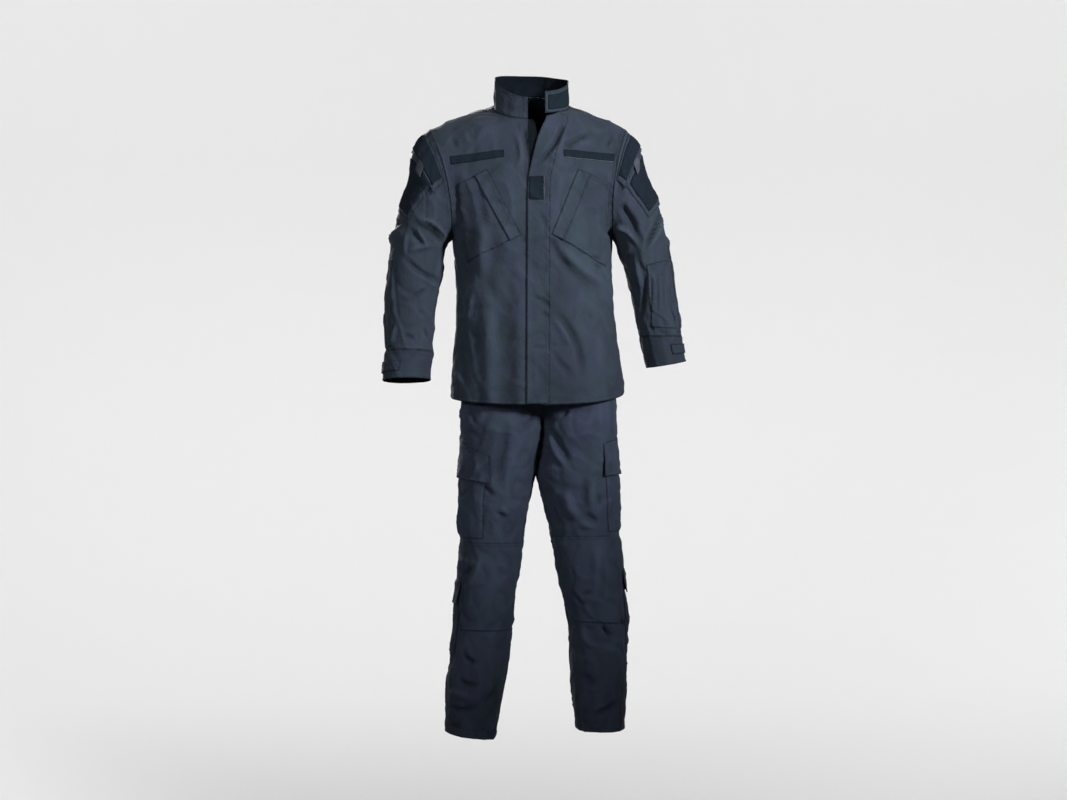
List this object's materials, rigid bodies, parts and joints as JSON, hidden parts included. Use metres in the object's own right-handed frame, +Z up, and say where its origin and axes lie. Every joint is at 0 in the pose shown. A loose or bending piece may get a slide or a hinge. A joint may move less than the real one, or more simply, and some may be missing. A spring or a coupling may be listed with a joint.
{
  "type": "combat uniform",
  "caption": "Combat uniform: zip-front jacket with stand collar, slanted chest pockets and sleeve pockets, and cargo trousers with knee patches, in worn form.",
  "frame": {"origin": "between the shoulders, at the height where the shoulder seams rest on the wearer", "axes": "+Z up along the body, -Y out of the front, +X towards the wearer's left"},
  "size_m": [0.7185, 0.2935, 1.5696],
  "materials": {
    "jacket_twill": "matt ripstop cloth, blue grey",
    "trouser_twill": "matt ripstop cloth, navy",
    "loop_field": "short looped pile, dark blue grey",
    "zip_tape": "woven tape",
    "zip_slider": "satin dark",
    "pull_tab": "woven webbing, grey"
  },
  "bodies": {
    "root": {"back": "jacket_twill", "calf_flap_left": "trouser_twill", "calf_flap_right": "trouser_twill", "calf_pocket_left": "trouser_twill", "calf_pocket_right": "trouser_twill", "cargo_flap_left": "trouser_twill", "cargo_flap_right": "trouser_twill", "cargo_pocket_left": "trouser_twill", "cargo_pocket_right": "trouser_twill", "chest_flap_left": "jacket_twill", "chest_flap_right": "jacket_twill", "chest_pocket_left": "jacket_twill", "chest_pocket_right": "jacket_twill", "collar": "jacket_twill", "collar_loop": "loop_field", "cuff_left": "jacket_twill", "cuff_right": "jacket_twill", "cuff_tab_left": "jacket_twill", "cuff_tab_right": "jacket_twill", "elbow_patch_left": "jacket_twill", "elbow_patch_right": "jacket_twill", "flap_loop_left": "loop_field", "flap_loop_right": "loop_field", "fly": "trouser_twill", "front_left": "jacket_twill", "front_right": "jacket_twill", "knee_patch_left": "trouser_twill", "knee_patch_right": "trouser_twill", "name_tape_left": "loop_field", "name_tape_right": "loop_field", "pen_pocket": "jacket_twill", "placket": "jacket_twill", "pocket_loop_left": "loop_field", "pocket_loop_right": "loop_field", "pull_tab_left": "pull_tab", "pull_tab_right": "pull_tab", "rank_loop": "loop_field", "sleeve_flap_left": "jacket_twill", "sleeve_flap_right": "jacket_twill", "sleeve_left": "jacket_twill", "sleeve_pocket_left": "jacket_twill", "sleeve_pocket_right": "jacket_twill", "sleeve_right": "jacket_twill", "trouser_back_left": "trouser_twill", "trouser_back_right": "trouser_twill", "trouser_front_left": "trouser_twill", "trouser_front_right": "trouser_twill", "waistband": "trouser_twill", "zip_slider": "zip_slider", "zip_tape_left": "zip_tape", "zip_tape_right": "zip_tape"}
  },
  "joints": []
}
